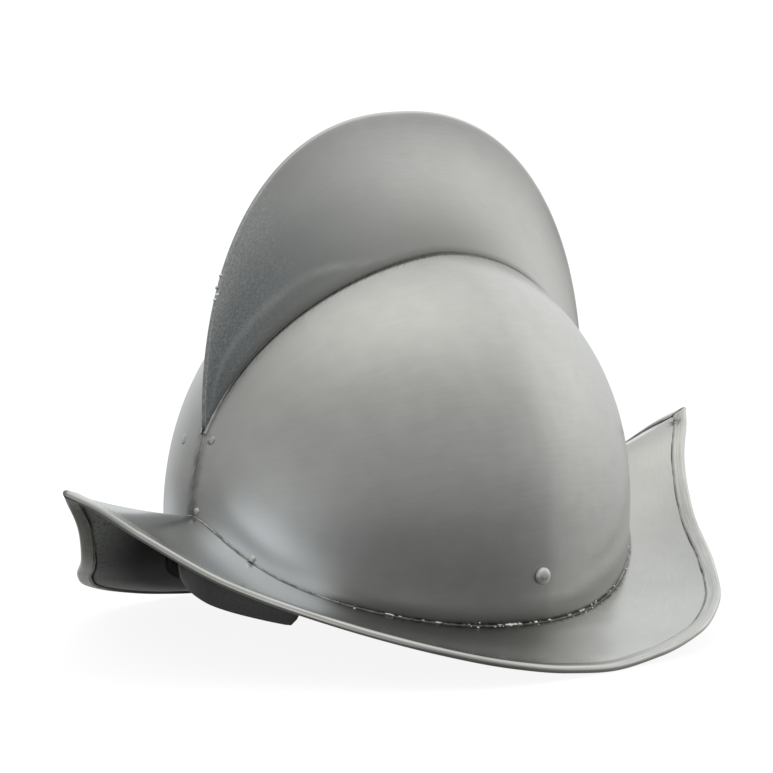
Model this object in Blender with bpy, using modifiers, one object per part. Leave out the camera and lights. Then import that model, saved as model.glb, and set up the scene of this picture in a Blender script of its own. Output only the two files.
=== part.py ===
"""Comb morion: a steel helmet with a tall comb and a boat-shaped brim.

Blender script, metres, +Z up. The helmet stands on the low sides of its brim at z = 0.
Its plane of symmetry is x = 0, its front point is towards -Y, and its right side in the
names below is +X.
"""
import math

import bmesh
import bpy
from mathutils import Matrix, Vector

# Sheet metal, leather and fit
SHEET = 0.0012
STRIP = 0.0007
GAP = 0.0003
LEATHER = 0.002

# Brim: half its length and width, and how high its points stand above its low sides
BRIM_HALF_LENGTH = 0.1785
BRIM_HALF_WIDTH = 0.1355
BRIM_FRONT_RISE = 0.0765
BRIM_BACK_RISE = 0.0785
# Outer edge of the plate from the middle of a side to a point, as shares of these sizes
BRIM_EDGE_COLUMNS = ("along", "half_width", "height")
BRIM_EDGE = (
    (0.00, 1.000, 0.000),
    (0.15, 0.995, 0.031),
    (0.30, 0.960, 0.094),
    (0.45, 0.852, 0.190),
    (0.60, 0.638, 0.326),
    (0.75, 0.355, 0.520),
    (0.88, 0.148, 0.775),
    (0.96, 0.055, 0.935),
    (1.00, 0.000, 1.000),
)
# How far the edge runs ahead of the seam between side and point, and the plate's hollow
BRIM_EDGE_LEAD = 0.26
BRIM_DISH = 0.0015
BRIM_COLUMNS = 44
BRIM_ROWS = 5

# Edge binding: a strip folded over the brim's edge, this far in from it
BINDING_REACH = 0.008

# Skull: outer surface about its own middle, which lies a little behind the brim's
SKULL_SET_BACK = 0.0025
SKULL_HALF_LENGTH = 0.1165
SKULL_HALF_WIDTH = 0.0940
SKULL_WIDEST_HEIGHT = 0.0536
SKULL_TOP_HEIGHT = 0.1686
SKULL_PLAN_POWER = 1.70
SKULL_RISE_POWER = 2.0
SKULL_TUCK_SHARE = 0.03
SKULL_COLUMNS = 40
SKULL_ROWS = 10

# Seam of skull and brim: lowest at the sides, a saddle's rise and a steeper peak at the ends
SEAM_SIDE_HEIGHT = 0.0125
SEAM_SADDLE_RISE = 0.030
SEAM_SADDLE_POWER = 2.5
SEAM_PEAK_RISE = 0.0175
SEAM_PEAK_POWER = 14

# Comb: where its feet start on the skull, its top, and the spread of its root
COMB_FOOT_HEIGHT = 0.0936
COMB_TOP_HEIGHT = 0.2232
COMB_ROOT_HALF_WIDTH = 0.025
COMB_CREST_POWER = 2.28
COMB_FLARE_POWER = 1.9
COMB_ROOT_START = math.radians(6)
COMB_CREST_START = math.radians(1)
COMB_COLUMNS = 36
COMB_ROWS = 6
# Share of the comb's height up to which its two sheets stand apart, and where they meet
COMB_HOLLOW_SHARE = 0.75
COMB_CLOSED_SHARE = 0.88

# Side rivets: through the skull's wall and the lining
RIVET_HEIGHT = 0.0326
RIVET_FORWARD = 0.004
RIVET_HEAD_RADIUS = 0.0038
RIVET_HEAD_HEIGHT = 0.0026
RIVET_SHANK_RADIUS = 0.0018
RIVET_TAIL_RADIUS = 0.0032
RIVET_TAIL_THICKNESS = 0.0010
RIVET_SIDES = 16
RIVET_DOME_STEPS = 4

# Lining: a leather band inside the skull, with a tongue that hangs at the front
LINING_SIDE_SPACE = 0.0010
LINING_END_SPACE = 0.0055
LINING_ABOVE_SEAM = 0.034
LINING_EDGE_ABOVE_SEAM = 0.004
TONGUE_HEIGHT = 0.0211
TONGUE_TILT = -0.17
TONGUE_HALF_ANGLE = math.radians(31)
TONGUE_CORNER_ANGLE = math.radians(8)
LINING_COLUMNS = 72
LINING_ROWS = 3

# Mesh corners closer than this are one
MERGE = 0.00001


def clear_scene():
    for existing in list(bpy.data.objects):
        bpy.data.objects.remove(existing, do_unlink=True)


def new_collection(name):
    collection = bpy.data.collections.new(name)
    bpy.context.scene.collection.children.link(collection)
    return collection


def make_material(name, color, roughness, metallic):
    material = bpy.data.materials.new(name)
    material.use_nodes = True
    shader = material.node_tree.nodes["Principled BSDF"]
    shader.inputs["Base Color"].default_value = (*color, 1.0)
    shader.inputs["Roughness"].default_value = roughness
    shader.inputs["Metallic"].default_value = metallic
    return material


def signed_power(value, power):
    return math.copysign(abs(value) ** power, value)


def blend(start, end, share):
    return start + (end - start) * share


def ease(share):
    """Smooth step from 0 to 1."""
    share = min(max(share, 0.0), 1.0)
    return share * share * (3 - 2 * share)


def edge_share(column, along):
    """Smooth value of a column of the brim's edge table, which never overshoots a row."""
    place = BRIM_EDGE_COLUMNS.index(column)
    steps = []
    for low, high in zip(BRIM_EDGE, BRIM_EDGE[1:]):
        steps.append((high[place] - low[place]) / (high[0] - low[0]))
    slopes = [0.0]
    for before, after in zip(steps, steps[1:]):
        slopes.append(2 * before * after / (before + after) if before * after > 0 else 0.0)
    slopes.append(steps[-1])
    row = sum(1 for entry in BRIM_EDGE[1:-1] if along > entry[0])
    low, high = BRIM_EDGE[row], BRIM_EDGE[row + 1]
    width = high[0] - low[0]
    share = (along - low[0]) / width
    rest = 1 - share
    value = low[place] * (1 + 2 * share) * rest ** 2 + high[place] * (3 - 2 * share) * share ** 2
    return value + width * share * rest * (slopes[row] * rest - slopes[row + 1] * share)


# Skull surface

def skull_spread(height):
    """Share of the skull's plan at a height: 1 where it is widest, 0 at its top."""
    if height >= SKULL_WIDEST_HEIGHT:
        climb = (height - SKULL_WIDEST_HEIGHT) / (SKULL_TOP_HEIGHT - SKULL_WIDEST_HEIGHT)
        return (1 - min(climb, 1.0) ** SKULL_RISE_POWER) ** (1 / SKULL_RISE_POWER)
    drop = (SKULL_WIDEST_HEIGHT - height) / (SKULL_WIDEST_HEIGHT - SEAM_SIDE_HEIGHT)
    return 1 - SKULL_TUCK_SHARE * drop ** 2


def skull_height(across, along):
    """Height of the upper skull at a point seen from above, measured from its middle."""
    width_part = abs(across / SKULL_HALF_WIDTH) ** SKULL_PLAN_POWER
    length_part = abs(along / SKULL_HALF_LENGTH) ** SKULL_PLAN_POWER
    spread = min((width_part + length_part) ** (1 / SKULL_PLAN_POWER), 1.0)
    climb = (1 - spread ** SKULL_RISE_POWER) ** (1 / SKULL_RISE_POWER)
    return blend(SKULL_WIDEST_HEIGHT, SKULL_TOP_HEIGHT, climb)


def plan_angle(across, along):
    width_part = (across / SKULL_HALF_WIDTH) ** (SKULL_PLAN_POWER / 2)
    length_part = signed_power(along / SKULL_HALF_LENGTH, SKULL_PLAN_POWER / 2)
    return math.atan2(length_part, width_part)


def skull_point(angle, height, side_inset=0.0, end_inset=0.0):
    """Point of the almond-shaped skull; the angle is -90 at its front and 90 at its back."""
    spread = skull_spread(height)
    across = signed_power(math.cos(angle), 2 / SKULL_PLAN_POWER)
    along = signed_power(math.sin(angle), 2 / SKULL_PLAN_POWER)
    half_width = SKULL_HALF_WIDTH * spread - side_inset
    half_length = SKULL_HALF_LENGTH * spread - end_inset
    return Vector((half_width * across, SKULL_SET_BACK + half_length * along, height))


def skull_normal(angle, height):
    turn = 0.001
    rise = 0.0001
    along = skull_point(angle + turn, height) - skull_point(angle - turn, height)
    up = skull_point(angle, height + rise) - skull_point(angle, height - rise)
    return along.cross(up).normalized()


def seam_height(angle):
    along = abs(math.sin(angle)) ** (2 / SKULL_PLAN_POWER)
    saddle = SEAM_SADDLE_RISE * along ** SEAM_SADDLE_POWER
    return SEAM_SIDE_HEIGHT + saddle + SEAM_PEAK_RISE * along ** SEAM_PEAK_POWER


# Comb outline

def comb_foot():
    """How far from the skull's middle the comb's feet stand."""
    return SKULL_HALF_LENGTH * skull_spread(COMB_FOOT_HEIGHT)


def root_half_width(turn):
    return SHEET + COMB_ROOT_HALF_WIDTH * math.sin(turn) ** 2


def comb_root(turn, clearance=0.0):
    """Point of the comb's root on the skull; the turn is 0 at the front foot, 180 at the back."""
    across = root_half_width(turn) + clearance
    along = -comb_foot() * math.cos(turn)
    return Vector((across, SKULL_SET_BACK + along, skull_height(across, along)))


def comb_crest(turn):
    along = signed_power(math.cos(turn), 2 / COMB_CREST_POWER)
    climb = math.sin(turn) ** (2 / COMB_CREST_POWER)
    height = blend(COMB_FOOT_HEIGHT, COMB_TOP_HEIGHT, climb)
    return Vector((SHEET, SKULL_SET_BACK - comb_foot() * along, height))


def comb_section(share):
    """Half a section of the comb, from the middle of its crest, down and back up inside."""
    root = comb_root(blend(COMB_ROOT_START, math.pi - COMB_ROOT_START, share))
    crest = comb_crest(blend(COMB_CREST_START, math.pi - COMB_CREST_START, share))
    height = math.hypot(crest.y - root.y, crest.z - root.z)

    def wall(climb, thickness):
        point = root.lerp(crest, climb)
        flare = root.x - crest.x
        slope = COMB_FLARE_POWER * flare * (1 - climb) ** (COMB_FLARE_POWER - 1) / height
        across = crest.x + flare * (1 - climb) ** COMB_FLARE_POWER
        point.x = max(across - thickness * math.hypot(1, slope), 5 * MERGE)
        return point

    ridge = Vector((0, crest.y, crest.z))
    outer = [wall(1 - row / COMB_ROWS, 0.0) for row in range(COMB_ROWS + 1)]
    inner = [wall(COMB_HOLLOW_SHARE * row / COMB_ROWS, SHEET) for row in range(COMB_ROWS + 1)]
    closed = root.lerp(crest, COMB_CLOSED_SHARE)
    closed.x = 0.0
    return [ridge, *outer, *inner, closed]


# Brim surface

def brim_edge(turn):
    """Outer edge of the plate; the turn runs from -1 at the front point to 1 at the back."""
    along = abs(turn) * (1 + BRIM_EDGE_LEAD * (1 - abs(turn)))
    across = BRIM_HALF_WIDTH * edge_share("half_width", along)
    rise = BRIM_FRONT_RISE if turn < 0 else BRIM_BACK_RISE
    height = rise * edge_share("height", along)
    return Vector((across, BRIM_HALF_LENGTH * math.copysign(along, turn), height))


def brim_seam(turn):
    angle = turn * math.pi / 2
    point = skull_point(angle, seam_height(angle), -GAP, -GAP)
    if abs(turn) == 1:
        point.x = 0.0
    return point


def brim_point(turn, out):
    """Top of the plate; out runs from 0 at the skull to 1 at the edge."""
    point = brim_seam(turn).lerp(brim_edge(turn), out)
    point.z -= BRIM_DISH * 4 * out * (1 - out)
    return point


def brim_directions(turn, out):
    """The plate's upward normal, and the way out across its edge."""
    step = 0.002
    before = max(turn - step, -1.0)
    after = min(turn + step, 1.0)
    along = (brim_point(after, out) - brim_point(before, out)).normalized()
    across = brim_point(turn, out + step) - brim_point(turn, out - step)
    normal = across.cross(along).normalized()
    if normal.z < 0:
        normal.negate()
    outward = along.cross(normal)
    if outward.dot(across) < 0:
        outward.negate()
    return normal, outward


def brim_offset(turn, out, lift, beyond=0.0):
    """Point off the plate, mitred on the plane of symmetry at the brim's two points."""
    base = brim_point(turn, out)
    normal, outward = brim_directions(turn, out)
    if abs(turn) < 1:
        return base + normal * lift + outward * beyond
    cross = outward.y * normal.z - outward.z * normal.y
    shift_y = (beyond * normal.z - lift * outward.z) / cross
    shift_z = (lift * outward.y - beyond * normal.y) / cross
    return base + Vector((0, shift_y, shift_z))


def brim_section(turn):
    """Closed section of the plate, with an upright inner edge beside the skull."""
    rows = [row / BRIM_ROWS for row in range(BRIM_ROWS + 1)]
    top = [brim_point(turn, out) for out in rows]
    bottom = [brim_offset(turn, out, -SHEET) for out in reversed(rows[1:])]
    normal, _ = brim_directions(turn, 0.0)
    inner = top[0] - Vector((0, 0, SHEET / normal.z))
    return [*top, *bottom, inner]


def binding_section(turn):
    """Closed section of the folded strip, from its inner lip over the top, round and back."""
    clear = GAP
    outer = GAP + STRIP
    ruling = brim_edge(turn) - brim_seam(turn)
    _, outward = brim_directions(turn, 1.0)

    def at(inward, lift):
        if inward < 0:
            return brim_offset(turn, 1.0, lift, -inward)
        return brim_offset(turn, 1 - inward / ruling.dot(outward), lift)

    half = BINDING_REACH / 2
    under = -SHEET
    corners = [
        (BINDING_REACH, outer), (half, outer), (-outer, outer),
        (-outer, under - outer), (half, under - outer), (BINDING_REACH, under - outer),
        (BINDING_REACH, under - clear), (half, under - clear), (-clear, under - clear),
        (-clear, clear), (half, clear), (BINDING_REACH, clear),
    ]
    points = [at(inward, lift) for inward, lift in corners]
    for point in points:
        point.x = max(point.x, GAP / 2)
    return points


# Lining outline

def lining_point(angle, height, inset):
    wall = SHEET + inset
    return skull_point(angle, height, wall + LINING_SIDE_SPACE, wall + LINING_END_SPACE)


def lining_bottom(angle):
    """Lower edge of the lining, which drops to the tongue round the front."""
    from_front = abs(math.remainder(angle + math.pi / 2, math.tau))
    edge = seam_height(angle) + LINING_EDGE_ABOVE_SEAM
    tongue = TONGUE_HEIGHT + TONGUE_TILT * lining_point(angle, TONGUE_HEIGHT, 0.0).x
    return blend(tongue, edge, ease((from_front - TONGUE_HALF_ANGLE) / TONGUE_CORNER_ANGLE + 0.5))


# Mesh building

def loft_mesh(sections, closed=False):
    """Grid of quads through sections with equal numbers of points."""
    mesh = bmesh.new()
    columns = len(sections) - 1
    rows = len(sections[0]) - (0 if closed else 1)
    bmesh.ops.create_grid(mesh, x_segments=columns, y_segments=rows, size=0.5)
    for vertex in mesh.verts:
        column = round((vertex.co.x + 0.5) * columns)
        row = round((vertex.co.y + 0.5) * rows)
        vertex.co = sections[column][row % len(sections[0])]
    if closed:
        bmesh.ops.remove_doubles(mesh, verts=mesh.verts, dist=MERGE)
    return mesh


def close_ends(mesh):
    rims = [edge for edge in mesh.edges if edge.is_boundary]
    bmesh.ops.holes_fill(mesh, edges=rims, sides=0)


def face_away_from(mesh, inside):
    """Turn the faces of an open surface away from a point inside it."""
    total = sum((face.calc_center_median() - inside).dot(face.normal) for face in mesh.faces)
    if total < 0:
        bmesh.ops.reverse_faces(mesh, faces=mesh.faces)


def add_object(name, mesh, material, collection):
    data = bpy.data.meshes.new(name)
    mesh.normal_update()
    mesh.to_mesh(data)
    mesh.free()
    data.materials.append(material)
    piece = bpy.data.objects.new(name, data)
    collection.objects.link(piece)
    return piece


def add_mirror(piece):
    mirror = piece.modifiers.new("other_half", "MIRROR")
    mirror.use_clip = True
    mirror.merge_threshold = MERGE


def add_wall(piece, thickness):
    wall = piece.modifiers.new("wall", "SOLIDIFY")
    wall.thickness = thickness
    wall.offset = -1
    wall.use_even_offset = True


def drill(piece, cutters):
    for cutter in cutters:
        hole = piece.modifiers.new(cutter.name, "BOOLEAN")
        hole.operation = "DIFFERENCE"
        hole.solver = "EXACT"
        hole.object = cutter


def build_skull(material, collection):
    """Raised bowl, from the seam with the brim up to the root of the comb."""
    sections = []
    for column in range(SKULL_COLUMNS + 1):
        share = column / SKULL_COLUMNS
        angle = blend(-math.pi / 2, math.pi / 2, share)
        turn = math.pi * share
        at_middle = column in (0, SKULL_COLUMNS)
        top = comb_root(turn, GAP)
        if at_middle:
            top = Vector((0, SKULL_SET_BACK - comb_foot() * math.cos(turn), COMB_FOOT_HEIGHT))
        top_angle = plan_angle(top.x, top.y - SKULL_SET_BACK)
        dome = SKULL_TOP_HEIGHT - SKULL_WIDEST_HEIGHT
        lowest = (seam_height(angle) - SHEET - SKULL_WIDEST_HEIGHT) / dome
        highest = math.asin((top.z - SKULL_WIDEST_HEIGHT) / dome)
        section = []
        for row in range(SKULL_ROWS):
            climb = row / SKULL_ROWS
            arc = blend(lowest, highest, climb)
            height = SKULL_WIDEST_HEIGHT + dome * (math.sin(arc) if arc > 0 else arc)
            point = skull_point(blend(angle, top_angle, climb), height)
            if at_middle:
                point.x = 0.0
            section.append(point)
        sections.append([*section, top])
    mesh = loft_mesh(sections)
    mesh.normal_update()
    face_away_from(mesh, Vector((0, SKULL_SET_BACK, SEAM_SIDE_HEIGHT)))
    skull = add_object("skull", mesh, material, collection)
    add_mirror(skull)
    add_wall(skull, SHEET)
    return skull


def build_comb(material, collection):
    """Hollow blade of two sheets, closed along its crest and open over the skull."""
    sections = [comb_section(column / COMB_COLUMNS) for column in range(COMB_COLUMNS + 1)]
    mesh = loft_mesh(sections)
    bmesh.ops.mirror(
        mesh, geom=mesh.verts[:] + mesh.edges[:] + mesh.faces[:], axis="X", merge_dist=MERGE)
    close_ends(mesh)
    bmesh.ops.recalc_face_normals(mesh, faces=mesh.faces)
    return add_object("comb", mesh, material, collection)


def brim_turns():
    return [blend(-1.0, 1.0, column / BRIM_COLUMNS) for column in range(BRIM_COLUMNS + 1)]


def build_brim(material, collection):
    mesh = loft_mesh([brim_section(turn) for turn in brim_turns()], closed=True)
    bmesh.ops.recalc_face_normals(mesh, faces=mesh.faces)
    brim = add_object("brim", mesh, material, collection)
    add_mirror(brim)
    return brim


def build_binding(name, side, material, collection):
    sections = [binding_section(turn) for turn in brim_turns()]
    for section in sections:
        for point in section:
            point.x *= side
    mesh = loft_mesh(sections, closed=True)
    close_ends(mesh)
    bmesh.ops.recalc_face_normals(mesh, faces=mesh.faces)
    return add_object(name, mesh, material, collection)


def rivet_frame(side):
    """Place of a side rivet: its axis runs out along the skull's normal."""
    along = -RIVET_FORWARD / SKULL_HALF_LENGTH
    angle = math.asin(signed_power(along, SKULL_PLAN_POWER / 2))
    seat = skull_point(angle, RIVET_HEIGHT)
    normal = skull_normal(angle, RIVET_HEIGHT)
    seat.x *= side
    normal.x *= side
    return Matrix.Translation(seat) @ normal.to_track_quat("Z", "Y").to_matrix().to_4x4()


def rivet_depth():
    """From the skull's outer face to the inner face of the lining."""
    return SHEET + LINING_SIDE_SPACE + LEATHER + GAP


def build_rivet(name, side, material, collection):
    """Domed head outside the skull, shank through wall and lining, flat tail inside."""
    profile = []
    for step in range(RIVET_DOME_STEPS + 1):
        turn = math.pi / 2 * (1 - step / RIVET_DOME_STEPS)
        rise = GAP + RIVET_HEAD_HEIGHT * math.sin(turn)
        profile.append((RIVET_HEAD_RADIUS * math.cos(turn), rise))
    depth = rivet_depth()
    profile += [
        (RIVET_SHANK_RADIUS, GAP),
        (RIVET_SHANK_RADIUS, -depth),
        (RIVET_TAIL_RADIUS, -depth),
        (RIVET_TAIL_RADIUS, -depth - RIVET_TAIL_THICKNESS),
        (0.0, -depth - RIVET_TAIL_THICKNESS),
    ]
    mesh = bmesh.new()
    line = [mesh.verts.new((radius, 0, rise)) for radius, rise in profile]
    edges = [mesh.edges.new(pair) for pair in zip(line, line[1:])]
    bmesh.ops.spin(
        mesh, geom=line + edges, cent=(0, 0, 0), axis=(0, 0, 1), angle=math.tau,
        steps=RIVET_SIDES, use_merge=True)
    bmesh.ops.remove_doubles(mesh, verts=mesh.verts, dist=MERGE)
    bmesh.ops.recalc_face_normals(mesh, faces=mesh.faces)
    rivet = add_object(name, mesh, material, collection)
    rivet.matrix_world = rivet_frame(side)
    return rivet


def build_hole_cutter(name, side, collection):
    bpy.ops.mesh.primitive_cylinder_add(
        vertices=RIVET_SIDES, radius=RIVET_SHANK_RADIUS + GAP, depth=4 * rivet_depth())
    cutter = bpy.context.object
    cutter.name = name
    cutter.matrix_world = rivet_frame(side)
    for owner in list(cutter.users_collection):
        owner.objects.unlink(cutter)
    collection.objects.link(cutter)
    cutter.hide_render = True
    cutter.display_type = "WIRE"
    return cutter


def build_lining(material, collection):
    sections = []
    for column in range(LINING_COLUMNS + 1):
        angle = math.tau * column / LINING_COLUMNS
        bottom = lining_bottom(angle)
        top = seam_height(angle) + LINING_ABOVE_SEAM
        rows = [blend(bottom, top, row / LINING_ROWS) for row in range(LINING_ROWS + 1)]
        sections.append([lining_point(angle, height, 0.0) for height in rows])
    mesh = loft_mesh(sections)
    bmesh.ops.remove_doubles(mesh, verts=mesh.verts, dist=MERGE)
    mesh.normal_update()
    face_away_from(mesh, Vector((0, SKULL_SET_BACK, SKULL_WIDEST_HEIGHT)))
    lining = add_object("lining", mesh, material, collection)
    add_wall(lining, LEATHER)
    return lining


def stand_on_floor(pieces):
    """Parent the pieces to an empty that lifts the lowest one to z = 0."""
    base = bpy.data.objects.new("helmet_base", None)
    bpy.context.scene.collection.objects.link(base)
    bpy.context.view_layer.update()
    depsgraph = bpy.context.evaluated_depsgraph_get()
    lowest = 0.0
    for piece in pieces:
        shape = piece.evaluated_get(depsgraph)
        corners = [shape.matrix_world @ vertex.co for vertex in shape.data.vertices]
        lowest = min(lowest, min(corner.z for corner in corners))
    for piece in pieces:
        piece.parent = base
    base.location.z = -lowest


def build():
    clear_scene()
    helmet = new_collection("morion_helmet")
    cutters = new_collection("cutters")
    steel = make_material("steel", (0.50, 0.51, 0.51), 0.38, 1.0)
    strip_steel = make_material("strip_steel", (0.46, 0.46, 0.45), 0.42, 1.0)
    leather = make_material("leather", (0.035, 0.036, 0.036), 0.6, 0.0)

    skull = build_skull(steel, helmet)
    comb = build_comb(steel, helmet)
    brim = build_brim(steel, helmet)
    lining = build_lining(leather, helmet)
    pieces = [skull, comb, brim, lining]
    holes = []
    for name, side in (("right", 1), ("left", -1)):
        pieces.append(build_binding("edge_binding_" + name, side, strip_steel, helmet))
        pieces.append(build_rivet("side_rivet_" + name, side, steel, helmet))
        holes.append(build_hole_cutter("rivet_hole_" + name, side, cutters))
    drill(skull, holes)
    drill(lining, holes)
    stand_on_floor(pieces + holes)


build()
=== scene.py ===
"""Comb morion: the fine shapes and the finish of each piece of the helmet.

Metres, +Z up. The front point is towards -Y and the right side is +X. The surfaces follow
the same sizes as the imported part, and each piece here stands for one of its nodes.
"""
import math
import random

import bmesh
import bpy
from mathutils import Matrix, Vector, noise


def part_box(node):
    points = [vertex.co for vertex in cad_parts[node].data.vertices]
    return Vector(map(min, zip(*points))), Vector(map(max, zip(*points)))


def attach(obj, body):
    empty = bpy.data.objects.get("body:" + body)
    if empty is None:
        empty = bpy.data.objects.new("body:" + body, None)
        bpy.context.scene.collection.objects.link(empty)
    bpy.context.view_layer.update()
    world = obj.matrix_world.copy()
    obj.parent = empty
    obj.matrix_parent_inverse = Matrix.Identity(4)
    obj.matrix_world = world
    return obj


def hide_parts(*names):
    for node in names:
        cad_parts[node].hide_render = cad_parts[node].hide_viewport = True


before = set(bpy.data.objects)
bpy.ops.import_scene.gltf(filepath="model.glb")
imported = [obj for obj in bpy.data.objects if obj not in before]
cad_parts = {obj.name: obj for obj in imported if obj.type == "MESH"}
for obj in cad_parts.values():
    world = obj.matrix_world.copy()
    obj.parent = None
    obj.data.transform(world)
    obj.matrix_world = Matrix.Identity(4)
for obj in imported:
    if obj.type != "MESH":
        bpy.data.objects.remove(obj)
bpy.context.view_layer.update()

# Camera, worked out from the helmet's outline in the photograph, with angles in degrees
CAMERA_AZIMUTH = 48.5055
CAMERA_ELEVATION = 6.767
CAMERA_ROLL = -0.5531
CAMERA_DISTANCE = 1.7327
CAMERA_TARGET = Vector((0.0, -0.0049, 0.1071))
CAMERA_LENS = 186.821

# Studio
BACKDROP_RADIUS = 30.0
BACKDROP_COVE = 4.0
BACKDROP_HEIGHT = 24.0
BACKDROP_STEPS = 8
BACKDROP_SIDES = 96

# Sheet metal, leather and fit
SHEET = 0.0012
STRIP = 0.0007
GAP = 0.0003
LEATHER = 0.002

# Brim
BRIM_HALF_LENGTH = 0.1785
BRIM_HALF_WIDTH = 0.1355
BRIM_FRONT_RISE = 0.0765
BRIM_BACK_RISE = 0.0785
BRIM_EDGE_COLUMNS = ("along", "half_width", "height")
BRIM_EDGE = (
    (0.00, 1.000, 0.000),
    (0.15, 0.995, 0.031),
    (0.30, 0.960, 0.094),
    (0.45, 0.852, 0.190),
    (0.60, 0.638, 0.326),
    (0.75, 0.355, 0.520),
    (0.88, 0.148, 0.775),
    (0.96, 0.055, 0.935),
    (1.00, 0.000, 1.000),
)
BRIM_EDGE_LEAD = 0.26
BRIM_DISH = 0.0015
BRIM_COLUMNS = 200
BRIM_ROWS = 20

# Strip folded over the brim's edge
STRIP_REACH = 0.0052
STRIP_COLUMNS = 260
FOLD_STEPS = 8
# The strip's inner edge is filed down towards the plate
STRIP_LIP = 0.0004
STRIP_BEVEL = 0.0008
LIP_CLEARANCE = 0.0001

# Skull
SKULL_SET_BACK = 0.0025
SKULL_HALF_LENGTH = 0.1165
SKULL_HALF_WIDTH = 0.0940
SKULL_WIDEST_HEIGHT = 0.0536
SKULL_TOP_HEIGHT = 0.1686
SKULL_PLAN_POWER = 1.70
SKULL_RISE_POWER = 2.0
SKULL_TUCK_SHARE = 0.03
SKULL_COLUMNS = 110
SKULL_ROWS = 44

# Seam of skull and brim
SEAM_SIDE_HEIGHT = 0.0125
SEAM_SADDLE_RISE = 0.030
SEAM_SADDLE_POWER = 2.5
SEAM_PEAK_RISE = 0.0175
SEAM_PEAK_POWER = 14

# Comb
COMB_FOOT_HEIGHT = 0.0936
COMB_TOP_HEIGHT = 0.2232
COMB_ROOT_HALF_WIDTH = 0.025
COMB_CREST_POWER = 2.28
COMB_FLARE_POWER = 1.9
COMB_ROOT_START = math.radians(6)
COMB_CREST_START = math.radians(1)
COMB_COLUMNS = 150
COMB_ROWS = 30
COMB_HOLLOW_ROWS = 12
COMB_HOLLOW_SHARE = 0.75
COMB_CLOSED_SHARE = 0.88
CREST_STEPS = 5
CREST_FOOT_SWELL = 0.0001

# Side rivets
RIVET_HEIGHT = 0.0326
RIVET_FORWARD = 0.004
RIVET_HEAD_RADIUS = 0.0038
RIVET_HEAD_HEIGHT = 0.0026
RIVET_SHANK_RADIUS = 0.0018
RIVET_TAIL_RADIUS = 0.0032
RIVET_TAIL_THICKNESS = 0.0010
RIVET_SIDES = 40
RIVET_DOME_STEPS = 10

# Leather band inside the skull, with its tongue at the front
LINING_SIDE_SPACE = 0.0010
LINING_END_SPACE = 0.0055
LINING_ABOVE_SEAM = 0.034
LINING_EDGE_ABOVE_SEAM = 0.004
TONGUE_HEIGHT = 0.0211
TONGUE_TILT = -0.17
TONGUE_RIGHT_ANGLE = math.radians(31)
TONGUE_LEFT_ANGLE = math.radians(28)
TONGUE_RIGHT_CORNER = math.radians(9)
TONGUE_LEFT_CORNER = math.radians(4)
LINING_COLUMNS = 240
LINING_ROWS = 12
LINING_EDGE_STEPS = 4
LINING_RIPPLE = 0.00044
LINING_RIPPLE_LIMIT = 0.0004

# Welds
SEAM_BEAD = 0.0005
ROOT_BEAD = 0.0003
CENTRE_BEAD = 0.0004
CENTRE_BEAD_DEPTH = 0.00025
BEAD_FLATNESS = 1.25
ROOT_FLATNESS = 2.0
BEAD_SIDES = 8
SEAM_BEAD_COLUMNS = 640
ROOT_BEAD_COLUMNS = 220
CENTRE_BEAD_COLUMNS = 60
# How far along the helmet the ragged weld, its soot and the painted shade by the seam reach:
# where they start in front, over what length they set in, where they stop at the back, and over
# what length
ROUGH_WELD = (-0.100, 0.045, 0.090, 0.04)
SKULL_SHADE = (-0.100, 0.045, 0.115, 0.04)
BRIM_SHADE = (-0.100, 0.030, 0.032, 0.06)

MERGE = 0.000005

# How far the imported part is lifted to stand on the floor
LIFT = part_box("comb")[1].z - COMB_TOP_HEIGHT


def signed_power(value, power):
    return math.copysign(abs(value) ** power, value)


def blend(start, end, share):
    return start + (end - start) * share


def ease(share):
    share = min(max(share, 0.0), 1.0)
    return share * share * (3 - 2 * share)


def evenly(start, end, steps):
    """Numbers from start to end in even steps, with both of them."""
    return [blend(start, end, step / steps) for step in range(steps + 1)]


def lumps(point, size, seed=0.0):
    """Smooth unevenness from -1 to 1, with lumps of about this size."""
    return noise.noise(point / size + Vector((seed, 0.37 * seed, -seed)))


# Surfaces of skull, comb and brim

def edge_share(column, along):
    place = BRIM_EDGE_COLUMNS.index(column)
    steps = []
    for low, high in zip(BRIM_EDGE, BRIM_EDGE[1:]):
        steps.append((high[place] - low[place]) / (high[0] - low[0]))
    slopes = [0.0]
    for before, after in zip(steps, steps[1:]):
        slopes.append(2 * before * after / (before + after) if before * after > 0 else 0.0)
    slopes.append(steps[-1])
    row = sum(1 for entry in BRIM_EDGE[1:-1] if along > entry[0])
    low, high = BRIM_EDGE[row], BRIM_EDGE[row + 1]
    width = high[0] - low[0]
    share = (along - low[0]) / width
    rest = 1 - share
    value = low[place] * (1 + 2 * share) * rest ** 2 + high[place] * (3 - 2 * share) * share ** 2
    return value + width * share * rest * (slopes[row] * rest - slopes[row + 1] * share)


def skull_spread(height):
    if height >= SKULL_WIDEST_HEIGHT:
        climb = (height - SKULL_WIDEST_HEIGHT) / (SKULL_TOP_HEIGHT - SKULL_WIDEST_HEIGHT)
        return (1 - min(climb, 1.0) ** SKULL_RISE_POWER) ** (1 / SKULL_RISE_POWER)
    drop = (SKULL_WIDEST_HEIGHT - height) / (SKULL_WIDEST_HEIGHT - SEAM_SIDE_HEIGHT)
    return 1 - SKULL_TUCK_SHARE * drop ** 2


def skull_height(across, along):
    width_part = abs(across / SKULL_HALF_WIDTH) ** SKULL_PLAN_POWER
    length_part = abs(along / SKULL_HALF_LENGTH) ** SKULL_PLAN_POWER
    spread = min((width_part + length_part) ** (1 / SKULL_PLAN_POWER), 1.0)
    climb = (1 - spread ** SKULL_RISE_POWER) ** (1 / SKULL_RISE_POWER)
    return blend(SKULL_WIDEST_HEIGHT, SKULL_TOP_HEIGHT, climb)


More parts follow.
